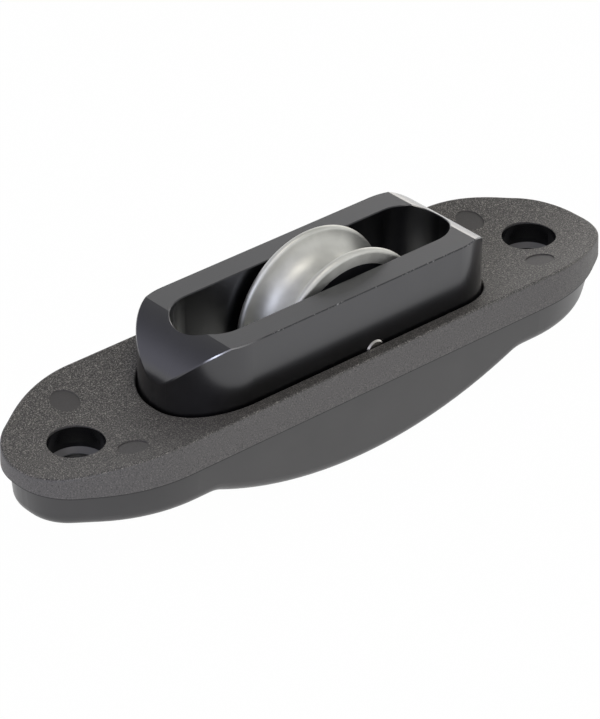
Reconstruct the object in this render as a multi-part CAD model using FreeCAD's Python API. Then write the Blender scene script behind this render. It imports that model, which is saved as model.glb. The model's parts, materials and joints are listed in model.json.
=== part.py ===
import FreeCAD, Part
import math
import os

# Flush sheave block for a round spar, millimetres.
# X runs along the block, Y across it, +Z points into the spar.
# The origin is midway between the two fixing holes, on the lowest line of the saddle.

# Plate outline, seen from above
HOLE_SPACING = 95.0
HOLE_TO_TIP = 11.2
HOLE_TO_SHOULDER = 2.6
TIP_HALF_WIDTH = 6.5
PLATE_HALF_WIDTH = 15.1
TIP_FLAT_HALF = 0.675
SHOULDER_RADIUS = 25.7

# Saddle and the band round it
SPAR_RADIUS = 40.0
PARTING_DEPTH = 2.8
BAND_DRAFT = 0.2
BAND_EDGE_RADIUS = 0.4

# Lower body under the parting line, slimmer than the band at its tips, its walls drafted inwards
TIP_INSET = 0.9
TIP_NARROWING = 1.6
SHOULDER_INSET = 0.6
PARTING_STEP = 0.2
LOWER_DRAFT_ANGLE = 4.5
LUG_THICKNESS = 9.1
BELLY_DEPTH = 16.1
BELLY_HALF_LENGTH = 31.7
BELLY_BLEND_RADIUS = 6.0
LOWER_EDGE_RADIUS = 2.0

# Fixing holes
FIXING_HOLE_RADIUS = 3.2
COUNTERBORE_RADIUS = 4.55
COUNTERBORE_DEPTH = 3.7
SEAT_CONE_DROP = 0.35
SEAT_CONE_WIDTH = 1.15
HOLE_EDGE_CHAMFER = 0.5

# Ejector pin marks in the saddle, two inboard of each fixing hole
MARK_TO_HOLE = 4.9
MARK_TO_NEAR_EDGE = 7.4
MARK_TO_FAR_EDGE = 6.0
EJECTOR_MARK_RADIUS = 2.4
EJECTOR_MARK_DEPTH = 0.15

# Sheave carrier, its two ends alike
CARRIER_HALF_LENGTH = 32.2
CARRIER_HALF_WIDTH = 11.1
CARRIER_CORNER_RADIUS = 10.5
CARRIER_TOP = 12.3
CARRIER_SEAT_DEPTH = 6.0
SLOPE_LENGTH = 6.9
SLOPE_DROP = 8.0
SLOPE_START_ANGLE = 16.0
CARRIER_EDGE_BREAK = 0.15
CARRIER_END_WALL = 5.1
WELL_GAP = 0.35
WELL_EDGE_RADIUS = 0.3

# Rope slot through the belly
ROPE_SLOT_SETBACK = 0.1
ROPE_SLOT_MOUTH_RADIUS = 2.0

# Sheave
AXLE_X = 3.4
AXLE_Z = 0.65
SHEAVE_RADIUS = 15.0
SHEAVE_HALF_WIDTH = 5.45
SHEAVE_SIDE_GAP = 0.98
GROOVE_DEPTH = 3.9
LIP_RADIUS = 0.7
SIDE_RIM_WIDTH = 2.4
CAP_RECESS_DEPTH = 1.55

# Balls and races
BALL_RADIUS = 1.5875
BALL_GAP = 0.17
OUTER_RACE_WALL = 3.0625
BALL_ROW_Y = 2.05
RACE_CLEARANCE = 0.05
RACE_RIB_HALF_WIDTH = 0.3
RACE_RIB_HEIGHT = 0.6

# Axle, hub and side pieces
AXLE_RADIUS = 2.0
AXLE_END_STAND_OUT = 0.2
AXLE_END_CHAMFER = 0.3
AXLE_FIT = 0.03
HUB_STAND_OUT = 0.1
HUB_END_FLOAT = 0.08
WASHER_OVERHANG = 0.84
WASHER_BORE_FIT = 0.1
CAP_THICKNESS = 0.8
CAP_RIM_FIT = 0.05
CAP_HUB_GAP = 0.35
CAP_EDGE_CHAMFER = 0.2

TIP_X = HOLE_SPACING / 2 + HOLE_TO_TIP
SHOULDER_X = HOLE_SPACING / 2 - HOLE_TO_SHOULDER
SLOPE_START_X = CARRIER_HALF_LENGTH - SLOPE_LENGTH
POCKET_HALF_LENGTH = CARRIER_HALF_LENGTH - CARRIER_END_WALL
POCKET_HALF_WIDTH = SHEAVE_HALF_WIDTH + SHEAVE_SIDE_GAP
CAP_RECESS_RADIUS = SHEAVE_RADIUS - SIDE_RIM_WIDTH
CAP_SEAT_Y = SHEAVE_HALF_WIDTH - CAP_RECESS_DEPTH
HUB_HALF_WIDTH = SHEAVE_HALF_WIDTH + HUB_STAND_OUT
OUTER_RACE_RADIUS = SHEAVE_RADIUS - GROOVE_DEPTH - OUTER_RACE_WALL
BALL_PITCH_RADIUS = OUTER_RACE_RADIUS - RACE_CLEARANCE - BALL_RADIUS
INNER_RACE_RADIUS = BALL_PITCH_RADIUS - BALL_RADIUS - RACE_CLEARANCE
BALLS_PER_ROW = int(2 * math.pi * BALL_PITCH_RADIUS / (2 * BALL_RADIUS + BALL_GAP))
WASHER_RADIUS = INNER_RACE_RADIUS + WASHER_OVERHANG
WELL_HALF_LENGTH = CARRIER_HALF_LENGTH + WELL_GAP
WELL_HALF_WIDTH = CARRIER_HALF_WIDTH + WELL_GAP
WELL_CORNER_RADIUS = CARRIER_CORNER_RADIUS + WELL_GAP
# Cutting tools run this far past the faces they cut
TOOL_OVERRUN = 5.0
# Edges this near to a face count as lying on it
TOUCH = 0.01
# Points this near to each other are one point
SAME_POINT = 1e-6
# Unit directions whose product is over this are parallel
PARALLEL = 0.999


def vec(x, y, z):
    return FreeCAD.Vector(x, y, z)


def rounded_wire(points, radii, z):
    """Closed level wire through the corner points, each corner rounded by its radius."""
    arcs = []
    count = len(points)
    for i in range(count):
        corner = vec(points[i][0], points[i][1], z)
        before = vec(points[i - 1][0], points[i - 1][1], z) - corner
        after = vec(points[(i + 1) % count][0], points[(i + 1) % count][1], z) - corner
        before.normalize()
        after.normalize()
        half = before.getAngle(after) / 2.0
        reach = radii[i] / math.tan(half)
        inward = before + after
        inward.normalize()
        middle = corner + inward * (radii[i] / math.sin(half) - radii[i])
        arcs.append((corner + before * reach, middle, corner + after * reach))
    edges = []
    for i in range(count):
        start, middle, end = arcs[i]
        edges.append(Part.Arc(start, middle, end).toShape())
        following = arcs[(i + 1) % count][0]
        if end.distanceToPoint(following) > SAME_POINT:
            edges.append(Part.makeLine(end, following))
    return Part.Wire(edges)


def tip_radius(tip, shoulder):
    """Rounding of a plate's tip corners that leaves the flat between them."""
    corner_angle = math.pi / 2 + math.atan2(shoulder[1] - tip[1], tip[0] - shoulder[0])
    return (tip[1] - TIP_FLAT_HALF) * math.tan(corner_angle / 2)


def plate_wire(tip, shoulder, radii, z):
    """Outline of a plate: a long hexagon with its tip and shoulder corners rounded."""
    tip_x, tip_y = tip
    shoulder_x, shoulder_y = shoulder
    corners = [
        (tip_x, -tip_y),
        (tip_x, tip_y),
        (shoulder_x, shoulder_y),
        (-shoulder_x, shoulder_y),
        (-tip_x, tip_y),
        (-tip_x, -tip_y),
        (-shoulder_x, -shoulder_y),
        (shoulder_x, -shoulder_y),
    ]
    return rounded_wire(corners, [radii[0], radii[0], radii[1], radii[1]] * 2, z)


def rounded_block(half_length, half_width, corner_radius, bottom, top):
    """Upright block with rounded vertical corners, centred on the origin."""
    corners = [
        (half_length, -half_width),
        (half_length, half_width),
        (-half_length, half_width),
        (-half_length, -half_width),
    ]
    wire = rounded_wire(corners, [corner_radius] * 4, bottom)
    return Part.Face(wire).extrude(vec(0, 0, top - bottom))


def slot_block(half_length, half_width, bottom, top):
    """Upright block with half-round ends."""
    return rounded_block(half_length, half_width, half_width, bottom, top)


def spin_about_axle(wire):
    """Solid of revolution about the sheave's axis, from a wire in the plane x = AXLE_X."""
    return Part.Face(wire).revolve(vec(AXLE_X, 0, AXLE_Z), vec(0, 1, 0), 360)


def axle_point(radius, y):
    """Point at a radius above the axle's centre line."""
    return vec(AXLE_X, y, AXLE_Z + radius)


def axle_ring(inner, outer, y_from, y_to, chamfer=0.0):
    """Ring about the axle, with its outer corners broken by a chamfer."""
    points = [axle_point(inner, y_from), axle_point(outer - chamfer, y_from)]
    if chamfer > 0:
        points.append(axle_point(outer, y_from + chamfer))
        points.append(axle_point(outer, y_to - chamfer))
    points.append(axle_point(outer - chamfer, y_to))
    points.append(axle_point(inner, y_to))
    points.append(points[0])
    return spin_about_axle(Part.makePolygon(points))


def belly_profile():
    """Side view of the lower body: level lugs, blends and the shallow belly arc."""
    lug_z = -LUG_THICKNESS
    sagitta = BELLY_DEPTH - LUG_THICKNESS
    belly_radius = (BELLY_HALF_LENGTH ** 2 + sagitta ** 2) / (2 * sagitta)
    centre_z = -BELLY_DEPTH + belly_radius
    blend_z = lug_z - BELLY_BLEND_RADIUS
    reach = belly_radius + BELLY_BLEND_RADIUS
    blend_x = math.sqrt(reach ** 2 - (centre_z - blend_z) ** 2)
    share = belly_radius / reach
    touch = vec(blend_x * share, 0, centre_z + (blend_z - centre_z) * share)
    mid_angle = (math.pi / 2 + math.atan2(touch.z - blend_z, touch.x - blend_x)) / 2
    blend_mid = vec(
        blend_x + BELLY_BLEND_RADIUS * math.cos(mid_angle),
        0,
        blend_z + BELLY_BLEND_RADIUS * math.sin(mid_angle),
    )
    end_x = TIP_X + TOOL_OVERRUN
    left = vec(-1, 1, 1)
    edges = [
        Part.makeLine(vec(-end_x, 0, -PARTING_DEPTH), vec(-end_x, 0, lug_z)),
        Part.makeLine(vec(-end_x, 0, lug_z), vec(-blend_x, 0, lug_z)),
        Part.Arc(vec(-blend_x, 0, lug_z), mirror(blend_mid, left), mirror(touch, left)).toShape(),
        Part.Arc(mirror(touch, left), vec(0, 0, -BELLY_DEPTH), touch).toShape(),
        Part.Arc(touch, blend_mid, vec(blend_x, 0, lug_z)).toShape(),
        Part.makeLine(vec(blend_x, 0, lug_z), vec(end_x, 0, lug_z)),
        Part.makeLine(vec(end_x, 0, lug_z), vec(end_x, 0, -PARTING_DEPTH)),
        Part.makeLine(vec(end_x, 0, -PARTING_DEPTH), vec(-end_x, 0, -PARTING_DEPTH)),
    ]
    return Part.Wire(edges)


def mirror(point, signs):
    """Point with its coordinates multiplied by the signs."""
    return vec(point.x * signs.x, point.y * signs.y, point.z * signs.z)


def is_along(edge, direction):
    """Whether a straight edge runs along a direction."""
    if edge.Curve.TypeId != "Part::GeomLine":
        return False
    return abs(edge.tangentAt(edge.FirstParameter).dot(direction)) > PARALLEL


def lower_body():
    """Body below the parting line, its bottom edge rounded all the way round."""
    tip = (TIP_X - TIP_INSET, TIP_HALF_WIDTH - TIP_NARROWING)
    shoulder = (SHOULDER_X - SHOULDER_INSET, PLATE_HALF_WIDTH - PARTING_STEP)
    outline = plate_wire(tip, shoulder, (tip_radius(tip, shoulder), SHOULDER_RADIUS), -PARTING_DEPTH)
    height = BELLY_DEPTH + TOOL_OVERRUN - PARTING_DEPTH
    base = outline.makeOffset2D(-height * math.tan(math.radians(LOWER_DRAFT_ANGLE)))
    base.translate(vec(0, 0, -height))
    column = Part.makeLoft([outline, base], True, True)
    half_depth = PLATE_HALF_WIDTH + TOOL_OVERRUN
    side = Part.Face(belly_profile())
    side.translate(vec(0, -half_depth, 0))
    body = column.common(side.extrude(vec(0, 2 * half_depth, 0)))
    rim = []
    for edge in body.Edges:
        below = edge.BoundBox.ZMax < -PARTING_DEPTH - TOUCH
        if below and not is_along(edge, vec(0, 1, 0)) and not is_along(edge, vec(0, 0, 1)):
            rim.append(edge)
    return body.makeFillet(LOWER_EDGE_RADIUS, rim)


def saddle_band():
    """Band above the parting line, hollowed on top to sit on the round spar."""
    top = spar_height(PLATE_HALF_WIDTH) + BAND_EDGE_RADIUS
    tip, shoulder = (TIP_X, TIP_HALF_WIDTH), (SHOULDER_X, PLATE_HALF_WIDTH)
    radii = (tip_radius(tip, shoulder), SHOULDER_RADIUS)
    wide_tip = (TIP_X + BAND_DRAFT, TIP_HALF_WIDTH)
    wide_shoulder = (SHOULDER_X, PLATE_HALF_WIDTH + BAND_DRAFT)
    low = plate_wire(wide_tip, wide_shoulder, radii, -PARTING_DEPTH)
    high = plate_wire(tip, shoulder, radii, top)
    band = Part.makeLoft([low, high], True, True)
    band = band.cut(spar_tool())
    rim = [edge for edge in band.Edges if edge.BoundBox.ZMin > -TOUCH]
    return band.makeFillet(BAND_EDGE_RADIUS, rim)


def spar_tool(growth=0.0):
    """The part of the round spar that lies in the saddle, grown all round by a small amount."""
    half_width = PLATE_HALF_WIDTH + TOOL_OVERRUN
    edge_z = spar_height(half_width, growth)
    end_x = TIP_X + TOOL_OVERRUN
    left = vec(-end_x, -half_width, edge_z)
    right = vec(-end_x, half_width, edge_z)
    edges = [Part.Arc(left, vec(-end_x, 0, -growth), right).toShape(), Part.makeLine(right, left)]
    return Part.Face(Part.Wire(edges)).extrude(vec(2 * end_x, 0, 0))


def spar_height(y, growth=0.0):
    """Height of the grown spar's surface at a distance across from its lowest line."""
    return SPAR_RADIUS - math.sqrt((SPAR_RADIUS + growth) ** 2 - y ** 2)


def fixing_hole_tool(x):
    """Stepped tool for one fixing hole: counterbore, sloping seat and through hole."""
    seat_z = -COUNTERBORE_DEPTH
    cone_z = seat_z - SEAT_CONE_DROP
    cone_radius = COUNTERBORE_RADIUS - SEAT_CONE_WIDTH
    bottom = -LUG_THICKNESS
    profile = [
        (0, TOOL_OVERRUN),
        (COUNTERBORE_RADIUS, TOOL_OVERRUN),
        (COUNTERBORE_RADIUS, seat_z),
        (cone_radius, cone_z),
        (FIXING_HOLE_RADIUS, cone_z),
        (FIXING_HOLE_RADIUS, bottom + HOLE_EDGE_CHAMFER),
        (FIXING_HOLE_RADIUS + 2 * HOLE_EDGE_CHAMFER, bottom - HOLE_EDGE_CHAMFER),
        (0, bottom - HOLE_EDGE_CHAMFER),
        (0, TOOL_OVERRUN),
    ]
    wire = Part.makePolygon([vec(x + r, 0, z) for r, z in profile])
    return Part.Face(wire).revolve(vec(x, 0, 0), vec(0, 0, 1), 360)


def ejector_mark_tool(x, y):
    """Tool for one shallow round mark of an ejector pin, its end shaped to the saddle."""
    base = vec(x, y, spar_height(y) - TOOL_OVERRUN)
    pin = Part.makeCylinder(EJECTOR_MARK_RADIUS, 2 * TOOL_OVERRUN, base)
    return pin.common(spar_tool(EJECTOR_MARK_DEPTH))


def rope_slot_tool():
    """Slot through the belly, in line with the carrier's pocket."""
    half_length = POCKET_HALF_LENGTH + ROPE_SLOT_SETBACK
    half_width = POCKET_HALF_WIDTH + ROPE_SLOT_SETBACK
    return slot_block(half_length, half_width, -BELLY_DEPTH - TOOL_OVERRUN, 0)


def round_slot_mouth(body):
    """Round the edge where the rope slot opens in the belly."""
    mouth = []
    for edge in body.Edges:
        box = edge.BoundBox
        inside = max(abs(box.YMin), abs(box.YMax)) < POCKET_HALF_WIDTH + 2 * ROPE_SLOT_SETBACK
        central = max(abs(box.XMin), abs(box.XMax)) < POCKET_HALF_LENGTH + 2 * ROPE_SLOT_SETBACK
        upright = is_along(edge, vec(0, 0, 1))
        if inside and central and box.ZMax < -CARRIER_SEAT_DEPTH - TOUCH and not upright:
            mouth.append(edge)
    return body.makeFillet(ROPE_SLOT_MOUTH_RADIUS, mouth)


def round_well_edge(body):
    """Round the edge where the carrier's well meets the saddle."""
    rim = []
    for edge in body.Edges:
        box = edge.BoundBox
        inside = max(abs(box.YMin), abs(box.YMax)) < WELL_HALF_WIDTH + TOUCH
        central = max(abs(box.XMin), abs(box.XMax)) < WELL_HALF_LENGTH + TOUCH
        if inside and central and box.ZMin > -TOUCH:
            rim.append(edge)
    return body.makeFillet(WELL_EDGE_RADIUS, rim)


def make_housing():
    """One-piece moulding: saddle plate with two lugs, and the belly the rope leaves by."""
    body = lower_body().fuse(saddle_band())
    well = rounded_block(
        WELL_HALF_LENGTH, WELL_HALF_WIDTH, WELL_CORNER_RADIUS, -CARRIER_SEAT_DEPTH, CARRIER_TOP
    )
    body = round_well_edge(body.cut(well))
    body = round_slot_mouth(body.cut(rope_slot_tool()))
    for side in (-1, 1):
        hole_x = side * HOLE_SPACING / 2
        mark_x = hole_x - side * MARK_TO_HOLE
        body = body.cut(fixing_hole_tool(hole_x))
        body = body.cut(ejector_mark_tool(mark_x, MARK_TO_NEAR_EDGE - PLATE_HALF_WIDTH))
        body = body.cut(ejector_mark_tool(mark_x, PLATE_HALF_WIDTH - MARK_TO_FAR_EDGE))
    return body.removeSplitter()


def end_slope_tool(side):
    """Tool that cuts one end of the carrier down along a convex arc."""
    chord = math.hypot(SLOPE_LENGTH, SLOPE_DROP)
    chord_angle = math.atan2(SLOPE_DROP, SLOPE_LENGTH)
    half_turn = chord_angle - math.radians(SLOPE_START_ANGLE)
    radius = chord / 2 / math.sin(half_turn)
    bow = radius * (1 - math.cos(half_turn))
    start = vec(SLOPE_START_X, 0, CARRIER_TOP)
    end = vec(CARRIER_HALF_LENGTH, 0, CARRIER_TOP - SLOPE_DROP)
    middle = (start + end) * 0.5 + vec(math.sin(chord_angle), 0, math.cos(chord_angle)) * bow
    out_x = CARRIER_HALF_LENGTH + TOOL_OVERRUN
    out_z = CARRIER_TOP + TOOL_OVERRUN
    end_angle = math.radians(SLOPE_START_ANGLE) + 2 * half_turn
    below = vec(out_x, 0, end.z - TOOL_OVERRUN * math.tan(end_angle))
    signs = vec(side, 1, 1)
    start, middle, end, below = [mirror(p, signs) for p in (start, middle, end, below)]
    outer = mirror(vec(out_x, 0, out_z), signs)
    inner = mirror(vec(SLOPE_START_X, 0, out_z), signs)
    edges = [
        Part.Arc(start, middle, end).toShape(),
        Part.makeLine(end, below),
        Part.makeLine(below, outer),
        Part.makeLine(outer, inner),
        Part.makeLine(inner, start),
    ]
    face = Part.Face(Part.Wire(edges))
    half_depth = CARRIER_HALF_WIDTH + TOOL_OVERRUN
    face.translate(vec(0, -half_depth, 0))
    return face.extrude(vec(0, 2 * half_depth, 0))


def break_top_edges(block):
    """Fine chamfer round the carrier's top, slopes included."""
    rim = []
    lowest = CARRIER_TOP - SLOPE_DROP
    for edge in block.Edges:
        box = edge.BoundBox
        high = box.ZMin > lowest - TOUCH
        inboard = abs(box.Center.x) < CARRIER_HALF_LENGTH - TOUCH
        crease = is_along(edge, vec(0, 1, 0)) and inboard
        if high and not crease and not is_along(edge, vec(0, 0, 1)):
            rim.append(edge)
    return block.makeChamfer(CARRIER_EDGE_BREAK, rim)


def make_sheave_carrier():
    """Machined carrier: a tall rounded bar with a slot for the sheave and sloping ends."""
    block = rounded_block(
        CARRIER_HALF_LENGTH,
        CARRIER_HALF_WIDTH,
        CARRIER_CORNER_RADIUS,
        -CARRIER_SEAT_DEPTH,
        CARRIER_TOP,
    )
    for side in (-1, 1):
        block = block.cut(end_slope_tool(side))
    pocket_bottom = -CARRIER_SEAT_DEPTH - TOOL_OVERRUN
    pocket_top = CARRIER_TOP + TOOL_OVERRUN
    block = block.cut(slot_block(POCKET_HALF_LENGTH, POCKET_HALF_WIDTH, pocket_bottom, pocket_top))
    block = break_top_edges(block)
    length = 2 * CARRIER_HALF_WIDTH + 2 * TOOL_OVERRUN
    base = vec(AXLE_X, -length / 2, AXLE_Z)
    return block.cut(Part.makeCylinder(AXLE_RADIUS + AXLE_FIT, length, base, vec(0, 1, 0)))


def make_axle_pin():
    """Plain pin across the carrier, trapped by the walls of the housing's well."""
    half_length = CARRIER_HALF_WIDTH + AXLE_END_STAND_OUT
    base = vec(AXLE_X, -half_length, AXLE_Z)
    pin = Part.makeCylinder(AXLE_RADIUS, 2 * half_length, base, vec(0, 1, 0))
    ends = [e for e in pin.Edges if e.Curve.TypeId == "Part::GeomCircle"]
    return pin.makeChamfer(AXLE_END_CHAMFER, ends)


def groove_radius():
    """Radius of the round groove that runs tangent into both rounded lips."""
    lip_y = SHEAVE_HALF_WIDTH - LIP_RADIUS
    rise = GROOVE_DEPTH - LIP_RADIUS
    return (lip_y ** 2 + rise ** 2 - LIP_RADIUS ** 2) / (2 * (rise + LIP_RADIUS))


def make_sheave():
    """Grooved wheel, its bore the outer race of both ball rows."""
    groove = groove_radius()
    floor = SHEAVE_RADIUS - GROOVE_DEPTH
    lip_y = SHEAVE_HALF_WIDTH - LIP_RADIUS
    lip_r = SHEAVE_RADIUS - LIP_RADIUS
    reach = groove + LIP_RADIUS
    share = groove / reach
    touch_r = floor + groove + (lip_r - floor - groove) * share
    touch_y = lip_y * share
    turn = math.atan2(touch_y - lip_y, touch_r - lip_r)
    crest_angle = (turn + math.pi / 2) / 2
    crest_r = lip_r + LIP_RADIUS * math.cos(crest_angle)
    crest_y = lip_y + LIP_RADIUS * math.sin(crest_angle)
    rib = OUTER_RACE_RADIUS - RACE_RIB_HEIGHT

    def at(radius, y):
        return axle_point(radius, y)

    def half_side(s):
        return [
            at(lip_r, s * SHEAVE_HALF_WIDTH),
            at(CAP_RECESS_RADIUS, s * SHEAVE_HALF_WIDTH),
            at(CAP_RECESS_RADIUS, s * CAP_SEAT_Y),
            at(OUTER_RACE_RADIUS, s * CAP_SEAT_Y),
            at(OUTER_RACE_RADIUS, s * RACE_RIB_HALF_WIDTH),
            at(rib, s * RACE_RIB_HALF_WIDTH),
        ]

    near = half_side(-1)
    far = half_side(1)
    edges = [
        Part.Arc(at(touch_r, -touch_y), at(floor, 0), at(touch_r, touch_y)).toShape(),
        Part.Arc(at(touch_r, touch_y), at(crest_r, crest_y), far[0]).toShape(),
        Part.Arc(near[0], at(crest_r, -crest_y), at(touch_r, -touch_y)).toShape(),
        Part.makeLine(far[-1], near[-1]),
    ]
    for side in (near, far):
        for start, end in zip(side[:-1], side[1:]):
            edges.append(Part.makeLine(start, end))
    wire = Part.Wire(Part.__sortEdges__(edges))
    return spin_about_axle(wire)


def make_hub():
    """Inner race on the axle, with a rib that keeps the two ball rows apart."""
    sleeve = axle_ring(AXLE_RADIUS + AXLE_FIT, INNER_RACE_RADIUS, -HUB_HALF_WIDTH, HUB_HALF_WIDTH)
    rib_radius = INNER_RACE_RADIUS + RACE_RIB_HEIGHT
    mid_radius = (AXLE_RADIUS + INNER_RACE_RADIUS) / 2
    rib = axle_ring(mid_radius, rib_radius, -RACE_RIB_HALF_WIDTH, RACE_RIB_HALF_WIDTH)
    return sleeve.fuse(rib).removeSplitter()


def make_thrust_washer(side):
    """Washer that spaces the hub from one cheek of the carrier."""
    inner_y = side * (HUB_HALF_WIDTH + HUB_END_FLOAT)
    outer_y = side * POCKET_HALF_WIDTH
    near, far = sorted((inner_y, outer_y))
    return axle_ring(AXLE_RADIUS + WASHER_BORE_FIT, WASHER_RADIUS, near, far)


def make_side_cap(side):
    """Thin ring pressed into the sheave's side to keep one row of balls in."""
    near, far = sorted((side * CAP_SEAT_Y, side * (CAP_SEAT_Y + CAP_THICKNESS)))
    inner = INNER_RACE_RADIUS + CAP_HUB_GAP
    return axle_ring(inner, CAP_RECESS_RADIUS - CAP_RIM_FIT, near, far, CAP_EDGE_CHAMFER)


def make_ball(row_side, index):
    """One ball of a row; the far row is turned half a pitch from the near one."""
    step = 2 * math.pi / BALLS_PER_ROW
    angle = index * step + (step / 2 if row_side > 0 else 0)
    x = AXLE_X + BALL_PITCH_RADIUS * math.cos(angle)
    z = AXLE_Z + BALL_PITCH_RADIUS * math.sin(angle)
    return Part.makeSphere(BALL_RADIUS, vec(x, row_side * BALL_ROW_Y, z))


def all_nodes():
    """Every sub-part by name."""
    nodes = {
        "housing": make_housing(),
        "sheave_carrier": make_sheave_carrier(),
        "axle_pin": make_axle_pin(),
        "sheave": make_sheave(),
        "bearing_hub": make_hub(),
    }
    for side, where in ((-1, "near"), (1, "far")):
        nodes["side_cap_" + where] = make_side_cap(side)
        nodes["thrust_washer_" + where] = make_thrust_washer(side)
        for index in range(BALLS_PER_ROW):
            nodes["ball_%s_%02d" % (where, index + 1)] = make_ball(side, index)
    return nodes


def main():
    os.makedirs("parts", exist_ok=True)
    for name, shape in all_nodes().items():
        shape.exportStep("parts/%s.step" % name)
        print(name, len(shape.Solids), shape.isValid(), round(shape.Volume, 2))


main()
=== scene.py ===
"""Looks of a flush sheave block for a round spar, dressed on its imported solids.

The block is a black glass-filled nylon moulding with a hollow saddle, a black anodised
aluminium carrier that stands in its well, and a silver sheave on two rows of steel balls.
"""

import json
import logging
import math
from dataclasses import dataclass, field
from enum import Enum
from typing import Any

import bpy
from mathutils import Matrix, Vector


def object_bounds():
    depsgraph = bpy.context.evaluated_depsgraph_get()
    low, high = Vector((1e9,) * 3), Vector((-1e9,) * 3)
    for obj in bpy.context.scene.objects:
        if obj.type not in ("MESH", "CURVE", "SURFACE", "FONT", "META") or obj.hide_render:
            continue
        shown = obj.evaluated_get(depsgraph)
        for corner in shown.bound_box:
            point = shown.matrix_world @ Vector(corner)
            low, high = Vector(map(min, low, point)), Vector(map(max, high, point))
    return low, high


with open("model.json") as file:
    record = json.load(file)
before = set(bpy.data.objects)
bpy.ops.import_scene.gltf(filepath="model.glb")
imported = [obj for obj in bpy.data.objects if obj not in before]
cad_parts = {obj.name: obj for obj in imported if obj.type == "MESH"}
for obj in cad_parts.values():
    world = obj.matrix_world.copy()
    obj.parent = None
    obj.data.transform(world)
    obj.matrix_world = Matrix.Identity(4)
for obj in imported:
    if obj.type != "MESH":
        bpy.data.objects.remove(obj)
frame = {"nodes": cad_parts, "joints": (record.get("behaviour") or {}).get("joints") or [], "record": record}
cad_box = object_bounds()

LOG = logging.getLogger("sheave_block")
MM = 0.001
# Distance from one ring of Blender's wave pattern to the next, at a scale of 1
RING_PERIOD = math.tau / 20
# Most of a noise pattern lies within these two heights
CLOUD_SPAN = (0.3, 0.7)

Colour = tuple[float, float, float, float]
Output = bpy.types.NodeSocket


def linear(code: str) -> Colour:
    """Turns an sRGB hex colour to linear light.

    Args:
        code: Six hex digits after a hash, such as "#3a3938".

    Returns:
        Red, green, blue and an alpha of 1.
    """
    values = []
    for start in (1, 3, 5):
        part = int(code[start:start + 2], 16) / 255
        values.append(part / 12.92 if part <= 0.04045 else ((part + 0.055) / 1.055) ** 2.4)
    return (values[0], values[1], values[2], 1.0)


def axle_mm() -> Vector:
    """Gives a point on the sheave's axle in millimetres, from the frame's joint."""
    places = [joint["pos_m"] for joint in frame["joints"] if joint["name"] == "sheave_spin"]
    return Vector(places[0]) / MM


def hole_spacing_mm() -> float:
    """Gives the distance between the two fixing holes, from the record's mount."""
    mounts = [mount for mount in frame["record"]["mounts"] if mount["name"] == "fixing_holes"]
    return mounts[0]["dims"]["spacing_x_mm"]


def add_node(
    tree: bpy.types.NodeTree,
    kind: str,
    settings: dict[str, Any] | None = None,
    inputs: dict[str | int, Any] | None = None,
) -> bpy.types.Node:
    """Adds one shader node with its settings and links.

    Args:
        tree: Node tree that takes the node.
        kind: Blender's name for the kind of node.
        settings: Properties of the node itself.
        inputs: Input socket, by name or number, to a value or to another node's output.

    Returns:
        The new node.
    """
    node = tree.nodes.new(kind)
    for name, value in (settings or {}).items():
        setattr(node, name, value)
    for key, value in (inputs or {}).items():
        socket = node.inputs[key]
        if isinstance(value, bpy.types.NodeSocket):
            tree.links.new(value, socket)
        else:
            socket.default_value = value
    return node


class Mixer(Enum):
    """What a Mix node mixes, with the numbers of its factor, two inputs and output."""

    COLOUR = ("RGBA", 0, 6, 7, 2)
    VECTOR = ("VECTOR", 0, 4, 5, 1)
    NUMBER = ("FLOAT", 0, 2, 3, 0)


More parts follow.
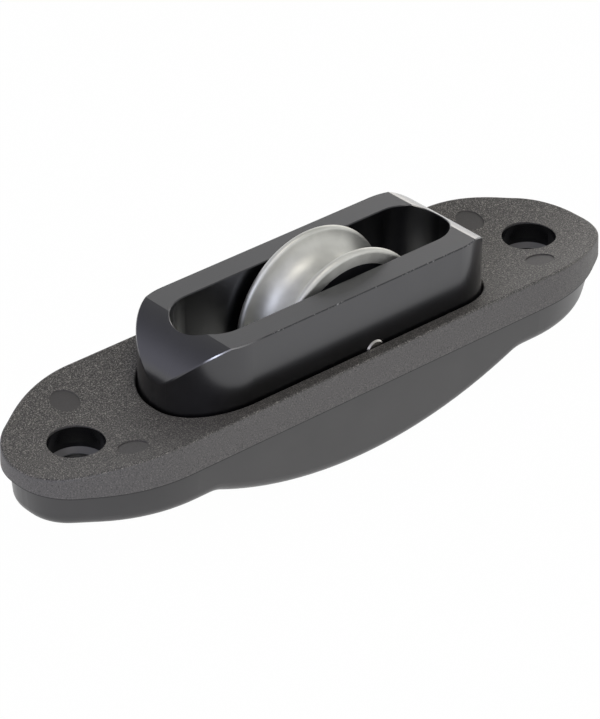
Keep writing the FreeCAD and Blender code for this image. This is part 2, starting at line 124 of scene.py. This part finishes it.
class Recipe:
    """A material's node tree, with places on the piece given in millimetres."""

    def __init__(self, name: str) -> None:
        """Makes an empty material and the node that gives places in millimetres.

        Args:
            name: The material's name.
        """
        self.material = bpy.data.materials.new(name)
        self.material.use_nodes = True
        self.tree = self.material.node_tree
        self.tree.nodes.clear()
        self.coords = self.add("ShaderNodeTexCoord")
        scaled = self.add(
            "ShaderNodeVectorMath",
            {"operation": "SCALE"},
            {0: self.coords.outputs["Object"], "Scale": 1 / MM},
        )
        self.place = scaled.outputs[0]

    def add(
        self,
        kind: str,
        settings: dict[str, Any] | None = None,
        inputs: dict[str | int, Any] | None = None,
    ) -> bpy.types.Node:
        """Adds one node to this material's tree."""
        return add_node(self.tree, kind, settings, inputs)

    def axes(self, vector: Output) -> tuple[Output, Output, Output]:
        """Splits a vector into its X, Y and Z."""
        parts = self.add("ShaderNodeSeparateXYZ", None, {0: vector}).outputs
        return parts[0], parts[1], parts[2]

    def grain(self, size_mm: float, detail: float = 2.0, roughness: float = 0.5) -> Output:
        """Adds cloudy noise whose lumps are about size_mm across."""
        settings = {"Vector": self.place, "Scale": 1 / size_mm, "Detail": detail, "Roughness": roughness}
        return self.add("ShaderNodeTexNoise", None, settings).outputs[0]

    def rings(self, centre_mm: Vector, spacing_mm: float, axis: str, waver: float) -> Output:
        """Adds fine circles round an axis, as a turning or milling tool leaves them.

        Args:
            centre_mm: A point on the axis.
            spacing_mm: Distance from one circle to the next.
            axis: "Y" or "Z".
            waver: How much the circles waver.

        Returns:
            Height from 0 to 1.
        """
        centred = self.add(
            "ShaderNodeVectorMath", {"operation": "SUBTRACT"}, {0: self.place, 1: centre_mm}
        ).outputs[0]
        settings = {"wave_type": "RINGS", "rings_direction": axis}
        scale = RING_PERIOD / spacing_mm
        inputs = {"Vector": centred, "Scale": scale, "Distortion": waver, "Detail": 2.0}
        return self.add("ShaderNodeTexWave", settings, inputs).outputs[1]

    def between(
        self, value: Output, low: float, high: float, to_low: float = 0.0, to_high: float = 1.0
    ) -> Output:
        """Stretches a value from low and high to to_low and to_high, and holds it there."""
        inputs = {"Value": value, "From Min": low, "From Max": high, "To Min": to_low, "To Max": to_high}
        return self.add("ShaderNodeMapRange", None, inputs).outputs[0]

    def mix(self, mixer: Mixer, factor: Any, first: Any, second: Any, how: str = "MIX") -> Output:
        """Mixes two colours, vectors or numbers by a factor.

        Args:
            mixer: What is mixed.
            factor: Share of the second, from 0 to 1.
            first: What a factor of 0 gives.
            second: What a factor of 1 gives.
            how: Blender's name for the way that two colours are mixed.

        Returns:
            The mixed value.
        """
        kind, factor_at, first_at, second_at, output_at = mixer.value
        settings = {"data_type": kind}
        if mixer is Mixer.COLOUR:
            settings["blend_type"] = how
        inputs = {factor_at: factor, first_at: first, second_at: second}
        return self.add("ShaderNodeMix", settings, inputs).outputs[output_at]

    def shaded(self, code: str, shade: Output) -> Output:
        """Multiplies a hex colour by a shade of about 1."""
        return self.mix(Mixer.COLOUR, 1.0, linear(code), shade, "MULTIPLY")

    def maths(self, operation: str, *values: Any) -> Output:
        """Works out one sum on one, two or three values."""
        return self.add("ShaderNodeMath", {"operation": operation}, dict(enumerate(values))).outputs[0]

    def near_to(self, value: Output, centre: float, reach: float, soft: float) -> Output:
        """Gives 1 within reach of a centre, falling to 0 over a soft edge."""
        away = self.maths("ABSOLUTE", self.maths("SUBTRACT", value, centre))
        return self.between(away, reach, reach + soft, 1.0, 0.0)

    def bump(self, height: Any, depth_mm: float, below: Any = None) -> Output:
        """Raises the surface by a height from 0 to 1, times a depth in millimetres.

        Args:
            height: Pattern that raises the surface.
            depth_mm: How far a height of 1 raises it.
            below: Normal of a bump that this one lies on, if any.

        Returns:
            The bumped normal.
        """
        inputs = {"Height": height, "Distance": depth_mm * MM, "Strength": 1.0}
        if below is not None:
            inputs["Normal"] = below
        return self.add("ShaderNodeBump", None, inputs).outputs[0]

    def finish(self, shader: Output) -> bpy.types.Material:
        """Joins the shader to the material's output and gives the material."""
        self.add("ShaderNodeOutputMaterial", None, {"Surface": shader})
        return self.material


@dataclass(frozen=True)
class MouldedNylon:
    """Black glass-filled nylon, injection moulded in a spark-eroded tool.

    The saddle and the band round it keep the tool's coarse sparked grain, drawn with painted
    glints on its crests and painted shade in its pits. Below the parting line the tool was only
    blasted, so the side is smooth and even.
    The core pins of the fixing holes were polished, so the holes are shiny; their black is painted
    shade, and so is the thin dark line under the parting step.
    """

    name: str = "moulded_glass_filled_nylon"
    saddle_hex: str = "#4b4946"
    # The crest colour is a painted glint and the pit colour is painted shade, on the sparked grain
    crest_glint_hex: str = "#98948c"
    pit_shade_hex: str = "#242321"
    band_hex: str = "#5a5856"
    side_hex: str = "#3f3e3d"
    # Painted shade, for the fixing holes and for the thin line under the parting step
    painted_shade_hex: str = "#0f0f10"
    # Painted highlight on the screw seat at the bottom of each fixing hole
    seat_highlight_hex: str = "#6c6c6e"
    mark_hex: str = "#464442"
    parting_z_mm: float = -2.8
    parting_soft_mm: float = 0.05
    line_half_mm: float = 0.09
    line_soft_mm: float = 0.08
    side_facing: tuple[float, float] = (0.3, 0.5)
    saddle_facing: tuple[float, float] = (0.5, 0.75)
    hole_radius_mm: float = 4.6
    hole_soft_mm: float = 0.02
    hole_rim_z_mm: float = -0.25
    seat_z_mm: float = -3.9
    seat_half_mm: float = 0.22
    mark_x_mm: float = 42.6
    mark_ys_mm: tuple[float, float] = (-7.7, 9.1)
    mark_radius_mm: float = 2.4
    soft_mm: float = 0.05
    # Sparked grain is about 0.1 mm in the real tool; it is drawn twice as coarse to show
    saddle_grain_mm: float = 0.22
    band_grain_mm: float = 0.2
    # Blasting leaves dents of about 0.05 mm; they are drawn three times as coarse to show
    side_grain_mm: float = 0.16
    cloud_mm: float = 8.0
    crest_span: tuple[float, float] = (0.53, 0.66)
    pit_span: tuple[float, float] = (0.48, 0.34)
    band_crest_span: tuple[float, float] = (0.56, 0.74)
    band_crest_share: float = 0.6
    band_pit_span: tuple[float, float] = (0.45, 0.3)
    side_shades: tuple[float, float] = (0.92, 1.08)
    grain_span: tuple[float, float] = (0.4, 0.7)
    grain_roughnesses: tuple[float, float] = (0.62, 0.42)
    saddle_depth_mm: float = 0.055
    band_depth_mm: float = 0.04
    side_depth_mm: float = 0.005
    side_roughness: float = 0.34
    hole_roughness: float = 0.2
    seat_roughness: float = 0.35
    ior: float = 1.53

    def around(self, recipe: Recipe, x_mm: float, y_mm: float, radius_mm: float, soft_mm: float) -> Output:
        """Gives 1 within a radius of two upright axes, at an x and at its mirror.

        Args:
            recipe: Node tree that takes the nodes.
            x_mm: Distance of both axes from the middle of the block.
            y_mm: Place of both axes across the block.
            radius_mm: Radius round each axis.
            soft_mm: Width of the soft edge outside the radius.

        Returns:
            1 inside and 0 outside.
        """
        x, y, _ = recipe.axes(recipe.place)
        along = recipe.maths("SUBTRACT", recipe.maths("ABSOLUTE", x), x_mm)
        across = recipe.maths("SUBTRACT", y, y_mm)
        square = recipe.maths("MULTIPLY_ADD", along, along, recipe.maths("MULTIPLY", across, across))
        return recipe.between(recipe.maths("SQRT", square), radius_mm, radius_mm + soft_mm, 1.0, 0.0)

    def build(self) -> bpy.types.Material:
        """Makes the material.

        Returns:
            The material, ready to put on a piece.
        """
        recipe = Recipe(self.name)
        _, _, height = recipe.axes(recipe.place)
        _, _, facing = recipe.axes(recipe.coords.outputs["Normal"])
        low, high = self.parting_z_mm - self.parting_soft_mm, self.parting_z_mm + self.parting_soft_mm
        above = recipe.between(height, low, high)
        upward = recipe.between(facing, *self.saddle_facing)
        saddle = recipe.maths("MULTIPLY", above, upward)
        # Painted shade: a thin dark line under the parting step on the side faces
        line = recipe.near_to(height, self.parting_z_mm, self.line_half_mm, self.line_soft_mm)
        line = recipe.maths("MULTIPLY", line, recipe.between(facing, *self.side_facing, 1.0, 0.0))
        # Painted shade down the fixing holes
        hole = self.around(recipe, hole_spacing_mm() / 2, 0.0, self.hole_radius_mm, self.hole_soft_mm)
        hole = recipe.maths("MULTIPLY", hole, recipe.between(height, self.hole_rim_z_mm, 0.0, 1.0, 0.0))
        # Painted highlight on the ring of the screw seat
        seat = recipe.near_to(height, self.seat_z_mm, self.seat_half_mm, self.soft_mm)
        seat = recipe.maths("MULTIPLY", hole, seat)
        inner_mm = self.mark_radius_mm - self.soft_mm
        marks = [self.around(recipe, self.mark_x_mm, y, inner_mm, self.soft_mm) for y in self.mark_ys_mm]
        mark = recipe.maths("MULTIPLY", recipe.maths("MAXIMUM", *marks), saddle)

        coarse = recipe.grain(self.saddle_grain_mm, detail=3.0, roughness=0.65)
        fine = recipe.grain(self.band_grain_mm, detail=3.0, roughness=0.65)
        smooth = recipe.grain(self.side_grain_mm)
        clouds = recipe.grain(self.cloud_mm)
        # Painted glints on the grain's crests and painted shade in its pits, on the saddle and the band
        crest, pit = linear(self.crest_glint_hex), linear(self.pit_shade_hex)
        crests = recipe.between(coarse, *self.crest_span)
        sparked = recipe.mix(Mixer.COLOUR, crests, linear(self.saddle_hex), crest)
        sparked = recipe.mix(Mixer.COLOUR, recipe.between(coarse, *self.pit_span), sparked, pit)
        crests = recipe.between(fine, *self.band_crest_span, 0.0, self.band_crest_share)
        band = recipe.mix(Mixer.COLOUR, crests, linear(self.band_hex), crest)
        band = recipe.mix(Mixer.COLOUR, recipe.between(fine, *self.band_pit_span), band, pit)
        shade = recipe.between(clouds, *CLOUD_SPAN, *self.side_shades)
        side = recipe.shaded(self.side_hex, shade)
        colour = recipe.mix(Mixer.COLOUR, above, side, band)
        colour = recipe.mix(Mixer.COLOUR, saddle, colour, sparked)
        colour = recipe.mix(Mixer.COLOUR, mark, colour, linear(self.mark_hex))
        colour = recipe.mix(Mixer.COLOUR, line, colour, linear(self.painted_shade_hex))
        colour = recipe.mix(Mixer.COLOUR, hole, colour, linear(self.painted_shade_hex))
        colour = recipe.mix(Mixer.COLOUR, seat, colour, linear(self.seat_highlight_hex))

        plain = recipe.bump(smooth, self.side_depth_mm)
        normal = recipe.mix(Mixer.VECTOR, above, plain, recipe.bump(fine, self.band_depth_mm))
        normal = recipe.mix(Mixer.VECTOR, saddle, normal, recipe.bump(coarse, self.saddle_depth_mm))
        normal = recipe.mix(Mixer.VECTOR, recipe.maths("MAXIMUM", mark, hole), normal, plain)
        roughness = recipe.between(coarse, *self.grain_span, *self.grain_roughnesses)
        roughness = recipe.mix(Mixer.NUMBER, above, self.side_roughness, roughness)
        roughness = recipe.mix(Mixer.NUMBER, hole, roughness, self.hole_roughness)
        roughness = recipe.mix(Mixer.NUMBER, seat, roughness, self.seat_roughness)
        shader = recipe.add(
            "ShaderNodeBsdfPrincipled",
            None,
            {"Base Color": colour, "Roughness": roughness, "IOR": self.ior, "Normal": normal},
        )
        return recipe.finish(shader.outputs[0])


@dataclass(frozen=True)
class BlackAnodisedAluminium:
    """Milled aluminium with a black-dyed anodic film, satin.

    The dark metal shows through a thin clear oxide film, so it is near black where it looks
    into the shade and grey where it looks at a bright wall. The cutter left fine arcs on it,
    and the film is worn to bare metal in specks along its upper edges; along the near edge of
    the left slope the same pale colour is a painted highlight.
    """

    name: str = "black_anodised_aluminium"
    metal_hex: str = "#2c2c30"
    # Pale colour for bare-metal wear specks and for a painted highlight on the left slope's near edge
    wear_and_highlight_hex: str = "#a9a9aa"
    cutter_centre_mm: tuple[float, float, float] = (-20.0, -70.0, 0.0)
    # Feed marks are about 0.1 mm apart on the real carrier; they are drawn wider apart to show
    mark_spacing_mm: float = 0.5
    mark_depth_mm: float = 0.0012
    step_y_mm: float = -2.6
    step_half_mm: float = 0.12
    step_end_x_mm: float = -25.5
    step_depth_mm: float = 0.01
    slope_rise: tuple[float, float] = (0.15, 0.3)
    slope_lean: tuple[float, float] = (0.3, 0.45)
    # Place of the painted highlight along the near edge of the left slope
    edge_highlight_x_mm: float = -28.0
    edge_highlight_half_mm: float = 1.0
    edge_highlight_fade_mm: float = 8.0
    edge_highlight_ys_mm: tuple[float, float] = (0.0, -5.0)
    outer_edge_mm: float = 8.0
    edge_soft_mm: float = 1.0
    speck_mm: float = 0.6
    speck_span: tuple[float, float] = (0.56, 0.66)
    speck_share: float = 0.8
    # The film's own grit is under 0.02 mm; it is drawn coarser to show
    grit_mm: float = 0.12
    grit_depth_mm: float = 0.0012
    cloud_mm: float = 7.0
    shades: tuple[float, float] = (0.9, 1.1)
    film_ior: float = 1.65
    film_roughness: float = 0.22
    roughnesses: tuple[float, float] = (0.33, 0.41)

    def build(self) -> bpy.types.Material:
        """Makes the material.

        Returns:
            The material, ready to put on a piece.
        """
        recipe = Recipe(self.name)
        x, y, _ = recipe.axes(recipe.place)
        _, across, upward = recipe.axes(recipe.coords.outputs["Normal"])
        clouds = recipe.grain(self.cloud_mm, detail=3.0)
        grit = recipe.grain(self.grit_mm)
        specks = recipe.grain(self.speck_mm, detail=3.0, roughness=0.7)
        marks = recipe.rings(Vector(self.cutter_centre_mm), self.mark_spacing_mm, "Z", 0.8)
        rising = recipe.between(upward, *self.slope_rise)
        leaning = recipe.between(recipe.maths("ABSOLUTE", across), *self.slope_lean)
        edge_mm, soft_mm = self.outer_edge_mm, self.edge_soft_mm
        outer = recipe.between(recipe.maths("ABSOLUTE", y), edge_mm, edge_mm + soft_mm)
        chamfer = recipe.maths("MULTIPLY", recipe.maths("MULTIPLY", rising, leaning), outer)
        # Painted highlight along the near edge of the left slope, joined to real wear specks on the upper
        # edges
        edge_highlight = recipe.near_to(x, self.edge_highlight_x_mm, self.edge_highlight_half_mm, self.edge_highlight_fade_mm)
        edge_highlight = recipe.maths("MULTIPLY", edge_highlight, recipe.between(y, *self.edge_highlight_ys_mm))
        bare = recipe.between(specks, *self.speck_span, 0.0, self.speck_share)
        wear_and_highlight = recipe.maths("MAXIMUM", bare, edge_highlight)
        wear_and_highlight = recipe.maths("MULTIPLY", wear_and_highlight, chamfer)
        step = recipe.near_to(y, self.step_y_mm, 0.0, self.step_half_mm)
        beyond = recipe.between(x, self.step_end_x_mm, self.step_end_x_mm - soft_mm)
        step = recipe.maths("MULTIPLY", step, beyond)
        shade = recipe.between(clouds, *CLOUD_SPAN, *self.shades)
        colour = recipe.shaded(self.metal_hex, shade)
        colour = recipe.mix(Mixer.COLOUR, wear_and_highlight, colour, linear(self.wear_and_highlight_hex))
        normal = recipe.bump(marks, self.mark_depth_mm, recipe.bump(grit, self.grit_depth_mm))
        normal = recipe.bump(step, self.step_depth_mm, normal)
        roughness = recipe.between(clouds, *CLOUD_SPAN, *self.roughnesses)
        shader = recipe.add(
            "ShaderNodeBsdfPrincipled",
            None,
            {
                "Base Color": colour,
                "Metallic": 1.0,
                "Roughness": roughness,
                "Normal": normal,
                "Coat Weight": 1.0,
                "Coat IOR": self.film_ior,
                "Coat Roughness": self.film_roughness,
            },
        )
        return recipe.finish(shader.outputs[0])


@dataclass(frozen=True)
class SatinAnodisedAluminium:
    """Turned aluminium, fine-blasted and clear anodised.

    It is pale silver with wide soft highlights. Faint rings from turning run round the axle.
    """

    name: str = "satin_anodised_aluminium"
    silver_hex: str = "#dcdcd6"
    shade_hex: str = "#d0d0ca"
    # Turning marks are about 0.1 mm apart on the real piece; they are drawn wider apart to show
    ring_spacing_mm: float = 0.3
    ring_depth_mm: float = 0.0008
    # Fine blasting leaves dents of about 0.06 mm; they are drawn three times as coarse to show
    blast_mm: float = 0.18
    blast_depth_mm: float = 0.02
    cloud_mm: float = 3.0
    tone_span: tuple[float, float] = (0.35, 0.65)
    roughnesses: tuple[float, float] = (0.48, 0.53)

    def build(self) -> bpy.types.Material:
        """Makes the material.

        Returns:
            The material, ready to put on a piece.
        """
        recipe = Recipe(self.name)
        rings = recipe.rings(axle_mm(), self.ring_spacing_mm, "Y", 0.6)
        blast = recipe.grain(self.blast_mm)
        clouds = recipe.grain(self.cloud_mm)
        tone = recipe.between(clouds, *self.tone_span)
        colour = recipe.mix(Mixer.COLOUR, tone, linear(self.shade_hex), linear(self.silver_hex))
        normal = recipe.bump(rings, self.ring_depth_mm, recipe.bump(blast, self.blast_depth_mm))
        roughness = recipe.between(clouds, *CLOUD_SPAN, *self.roughnesses)
        shader = recipe.add(
            "ShaderNodeBsdfPrincipled",
            None,
            {"Base Color": colour, "Metallic": 1.0, "Roughness": roughness, "Normal": normal},
        )
        return recipe.finish(shader.outputs[0])


@dataclass(frozen=True)
class BlackAcetal:
    """Black acetal, turned from rod and left semi-matt, with faint rings round the axle."""

    name: str = "turned_black_acetal"
    body_hex: str = "#1d1d1e"
    # Turning marks are about 0.1 mm apart on the real piece; they are drawn wider apart to show
    ring_spacing_mm: float = 0.3
    ring_depth_mm: float = 0.002
    mottle_mm: float = 2.0
    shades: tuple[float, float] = (0.85, 1.15)
    ior: float = 1.48
    roughness: float = 0.38

    def build(self) -> bpy.types.Material:
        """Makes the material.

        Returns:
            The material, ready to put on a piece.
        """
        recipe = Recipe(self.name)
        rings = recipe.rings(axle_mm(), self.ring_spacing_mm, "Y", 0.3)
        shade = recipe.between(recipe.grain(self.mottle_mm), *CLOUD_SPAN, *self.shades)
        shader = recipe.add(
            "ShaderNodeBsdfPrincipled",
            None,
            {
                "Base Color": recipe.shaded(self.body_hex, shade),
                "Roughness": self.roughness,
                "IOR": self.ior,
                "Normal": recipe.bump(rings, self.ring_depth_mm),
            },
        )
        return recipe.finish(shader.outputs[0])


@dataclass(frozen=True)
class StainlessSteel:
    """Stainless steel, turned or polished bright, with a faint mottle in its shine."""

    name: str
    metal_hex: str = "#c9c6c1"
    # The tool's own lines are under 0.05 mm apart; this mottle is drawn coarser to show
    grain_mm: float = 0.2
    grain_depth_mm: float = 0.001
    shades: tuple[float, float] = (0.94, 1.04)
    roughness: float = 0.2
    swing: float = 0.2

    def build(self) -> bpy.types.Material:
        """Makes the material.

        Returns:
            The material, ready to put on a piece.
        """
        recipe = Recipe(self.name)
        grain = recipe.grain(self.grain_mm)
        shade = recipe.between(grain, *CLOUD_SPAN, *self.shades)
        low, high = self.roughness * (1 - self.swing), self.roughness * (1 + self.swing)
        roughness = recipe.between(grain, *CLOUD_SPAN, low, high)
        shader = recipe.add(
            "ShaderNodeBsdfPrincipled",
            None,
            {
                "Base Color": recipe.shaded(self.metal_hex, shade),
                "Metallic": 1.0,
                "Roughness": roughness,
                "Normal": recipe.bump(grain, self.grain_depth_mm),
            },
        )
        return recipe.finish(shader.outputs[0])


def dress(node_name: str, material: bpy.types.Material) -> None:
    """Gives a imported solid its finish.

    Args:
        node_name: The solid's name in the frame.
        material: Finish for all of it.
    """
    piece = frame["nodes"][node_name]
    piece.data.materials.clear()
    piece.data.materials.append(material)
    LOG.info("dressed %s in %s", node_name, material.name)


@dataclass
class Housing:
    """One-piece moulding with the saddle, the two lugs and the belly."""

    nylon: MouldedNylon = field(default_factory=MouldedNylon)

    def dress(self) -> None:
        """Gives the moulding its nylon."""
        dress("housing", self.nylon.build())


@dataclass
class SheaveCarrier:
    """Machined carrier with the axle through its cheeks."""

    film: BlackAnodisedAluminium = field(default_factory=BlackAnodisedAluminium)
    axle: StainlessSteel = field(default_factory=lambda: StainlessSteel("turned_stainless_steel"))

    def dress(self) -> None:
        """Gives the carrier and its axle their finishes."""
        dress("sheave_carrier", self.film.build())
        dress("axle_pin", self.axle.build())


@dataclass
class SheaveAndBearing:
    """Sheave, side caps, hub, thrust washers and two rows of balls."""

    balls_per_row: int = 12
    silver: SatinAnodisedAluminium = field(default_factory=SatinAnodisedAluminium)
    acetal: BlackAcetal = field(default_factory=BlackAcetal)
    hub_steel: StainlessSteel = field(default_factory=lambda: StainlessSteel("ground_stainless_steel"))
    ball_steel: StainlessSteel = field(
        default_factory=lambda: StainlessSteel("polished_stainless_steel", roughness=0.08)
    )

    def dress(self) -> None:
        """Gives each piece its finish."""
        dress("sheave", self.silver.build())
        dress("bearing_hub", self.hub_steel.build())
        acetal = self.acetal.build()
        ball_steel = self.ball_steel.build()
        for side in ("near", "far"):
            dress(f"side_cap_{side}", acetal)
            dress(f"thrust_washer_{side}", acetal)
            for number in range(1, self.balls_per_row + 1):
                dress(f"ball_{side}_{number:02d}", ball_steel)


@dataclass(frozen=True)
class PaleFloor:
    """Matt white studio sweep that shows as white and keeps a faint soft shadow."""

    name: str = "white_studio_sweep"
    paper_hex: str = "#f2f2f2"
    # Paper's fibres are finer than this; they are drawn coarser to show
    grain_mm: float = 1.5
    shades: tuple[float, float] = (0.98, 1.0)
    glow_share: float = 0.99

    def build(self) -> bpy.types.Material:
        """Makes the material.

        Returns:
            The material, ready to put on a piece.
        """
        recipe = Recipe(self.name)
        shade = recipe.between(recipe.grain(self.grain_mm), *CLOUD_SPAN, *self.shades)
        matt = recipe.add("ShaderNodeBsdfDiffuse", None, {"Color": recipe.shaded(self.paper_hex, shade)})
        white = recipe.add("ShaderNodeEmission", None, {"Strength": 1.0})
        path = recipe.add("ShaderNodeLightPath")
        seen = recipe.maths("MAXIMUM", path.outputs["Is Camera Ray"], path.outputs["Is Glossy Ray"])
        seen = recipe.maths("MAXIMUM", seen, path.outputs["Is Transmission Ray"])
        share = recipe.maths("MULTIPLY", seen, self.glow_share)
        shader = recipe.add("ShaderNodeMixShader", None, {0: share, 1: matt.outputs[0], 2: white.outputs[0]})
        return recipe.finish(shader.outputs[0])


@dataclass(frozen=True)
class Lamp:
    """Soft square lamp."""

    name: str
    place_m: tuple[float, float, float]
    side_m: float
    power_w: float
    colour_hex: str = "#ffffff"

    def build(self) -> None:
        """Hangs the lamp and turns it to the object."""
        data = bpy.data.lights.new(self.name, "AREA")
        data.shape = "SQUARE"
        data.size = self.side_m
        data.energy = self.power_w
        data.color = linear(self.colour_hex)[:3]
        lamp = bpy.data.objects.new(self.name, data)
        bpy.context.scene.collection.objects.link(lamp)
        lamp.location = self.place_m
        lamp.rotation_mode = "QUATERNION"
        lamp.rotation_quaternion = (-Vector(self.place_m)).to_track_quat("-Z", "Y")
        LOG.info("hung lamp %s", self.name)


@dataclass(frozen=True)
class Room:
    """The studio's walls and ceiling: bright round the horizon, dimmer overhead and to the left."""

    wall_rise: float = 0.2
    ceiling_rise: float = 0.8
    ceiling_level: float = 0.45
    left_hex: str = "#f0f0ff"
    right_hex: str = "#ffffff"
    left_x: float = -0.6
    right_x: float = 0.5
    ambient: float = 0.9

    def level(self, tree: bpy.types.NodeTree) -> Output:
        """Works out the colour and brightness of the room in each direction.

        Args:
            tree: The world's node tree.

        Returns:
            Colour of the room, scaled by its brightness.
        """
        coords = add_node(tree, "ShaderNodeTexCoord")
        way = add_node(tree, "ShaderNodeSeparateXYZ", None, {0: coords.outputs["Generated"]})
        rise = {
            "Value": way.outputs[2],
            "From Min": self.wall_rise,
            "From Max": self.ceiling_rise,
            "To Min": 1.0,
            "To Max": self.ceiling_level,
        }
        side = {"Value": way.outputs[0], "From Min": self.left_x, "From Max": self.right_x}
        up = add_node(tree, "ShaderNodeMapRange", {"interpolation_type": "SMOOTHSTEP"}, rise)
        across = add_node(tree, "ShaderNodeMapRange", {"interpolation_type": "SMOOTHSTEP"}, side)
        kind, factor_at, left_at, right_at, output_at = Mixer.COLOUR.value
        inputs = {
            factor_at: across.outputs[0],
            left_at: linear(self.left_hex),
            right_at: linear(self.right_hex),
        }
        walls = add_node(tree, "ShaderNodeMix", {"data_type": kind}, inputs).outputs[output_at]
        inputs = {0: walls, "Scale": up.outputs[0]}
        return add_node(tree, "ShaderNodeVectorMath", {"operation": "SCALE"}, inputs).outputs[0]

    def build(self) -> None:
        """Makes the world, whose walls show at full strength behind the object and in its shine."""
        world = bpy.data.worlds.new("studio_room")
        bpy.context.scene.world = world
        world.use_nodes = True
        tree = world.node_tree
        tree.nodes.clear()
        level = self.level(tree)
        light = add_node(tree, "ShaderNodeBackground", None, {0: level, "Strength": self.ambient})
        shown = add_node(tree, "ShaderNodeBackground", None, {0: level, "Strength": 1.0})
        path = add_node(tree, "ShaderNodeLightPath")
        seen = path.outputs["Is Camera Ray"]
        for ray in ("Is Glossy Ray", "Is Transmission Ray"):
            inputs = {0: seen, 1: path.outputs[ray]}
            seen = add_node(tree, "ShaderNodeMath", {"operation": "MAXIMUM"}, inputs).outputs[0]
        inputs = {0: seen, 1: light.outputs[0], 2: shown.outputs[0]}
        both = add_node(tree, "ShaderNodeMixShader", None, inputs)
        add_node(tree, "ShaderNodeOutputWorld", None, {"Surface": both.outputs[0]})


@dataclass
class Studio:
    """White sweep, pale room, soft lamps and the camera at the photograph's angle.

    The camera's angles are in radians. An azimuth of 0 looks along +Y.
    """

    azimuth: float = -0.7125754
    elevation: float = 0.5450688
    roll: float = -0.0059862
    distance_m: float = 0.5797
    lens_mm: float = 182.79
    sensor_mm: float = 36.0
    shift: tuple[float, float] = (-0.01784, -0.0348)
    nearest_m: float = 0.01
    farthest_m: float = 20.0
    floor_side_m: float = 6.0
    room: Room = field(default_factory=Room)
    lamps: tuple[Lamp, ...] = (
        Lamp("key_softbox", (-0.04, -0.26, 0.86), 0.25, 1.5, "#fffaf0"),
        Lamp("window_softbox", (-0.69, -0.40, 0.41), 0.2, 1.3, "#dfe6ff"),
        Lamp("fill_softbox", (0.75, 0.50, 0.16), 0.4, 0.7, "#fff8f0"),
    )

    def make_floor(self) -> None:
        """Lays the sweep under the belly."""
        low = cad_box[0].z
        half = self.floor_side_m / 2
        mesh = bpy.data.meshes.new("studio_sweep")
        corners = [(-half, -half, low), (half, -half, low), (half, half, low), (-half, half, low)]
        mesh.from_pydata(corners, [], [(0, 1, 2, 3)])
        mesh.materials.append(PaleFloor().build())
        floor = bpy.data.objects.new("studio_sweep", mesh)
        bpy.context.scene.collection.objects.link(floor)

    def make_camera(self) -> None:
        """Sets the camera where the photograph was taken from."""
        back = Vector(
            (
                math.sin(self.azimuth) * math.cos(self.elevation),
                -math.cos(self.azimuth) * math.cos(self.elevation),
                math.sin(self.elevation),
            )
        )
        right = (-back).cross(Vector((0, 0, 1))).normalized()
        up = right.cross(-back)
        turned_right = math.cos(self.roll) * right + math.sin(self.roll) * up
        turned_up = math.cos(self.roll) * up - math.sin(self.roll) * right
        data = bpy.data.cameras.new("camera")
        data.lens = self.lens_mm
        data.sensor_width = self.sensor_mm
        data.shift_x, data.shift_y = self.shift
        data.clip_start, data.clip_end = self.nearest_m, self.farthest_m
        camera = bpy.data.objects.new("camera", data)
        bpy.context.scene.collection.objects.link(camera)
        turn = Matrix((turned_right, turned_up, back)).transposed()
        camera.matrix_world = Matrix.Translation(back * self.distance_m) @ turn.to_4x4()
        bpy.context.scene.camera = camera

    def build(self) -> None:
        """Makes the camera, the floor, the room and the lamps."""
        self.make_camera()
        self.make_floor()
        self.room.build()
        for lamp in self.lamps:
            lamp.build()
        bpy.context.scene.view_settings.view_transform = "Standard"


def main() -> None:
    """Builds the studio and dresses each sub-assembly."""
    logging.basicConfig(level=logging.INFO, format="%(name)s: %(message)s")
    Studio().build()
    Housing().dress()
    SheaveCarrier().dress()
    SheaveAndBearing().dress()


if __name__ == "__main__":
    main()
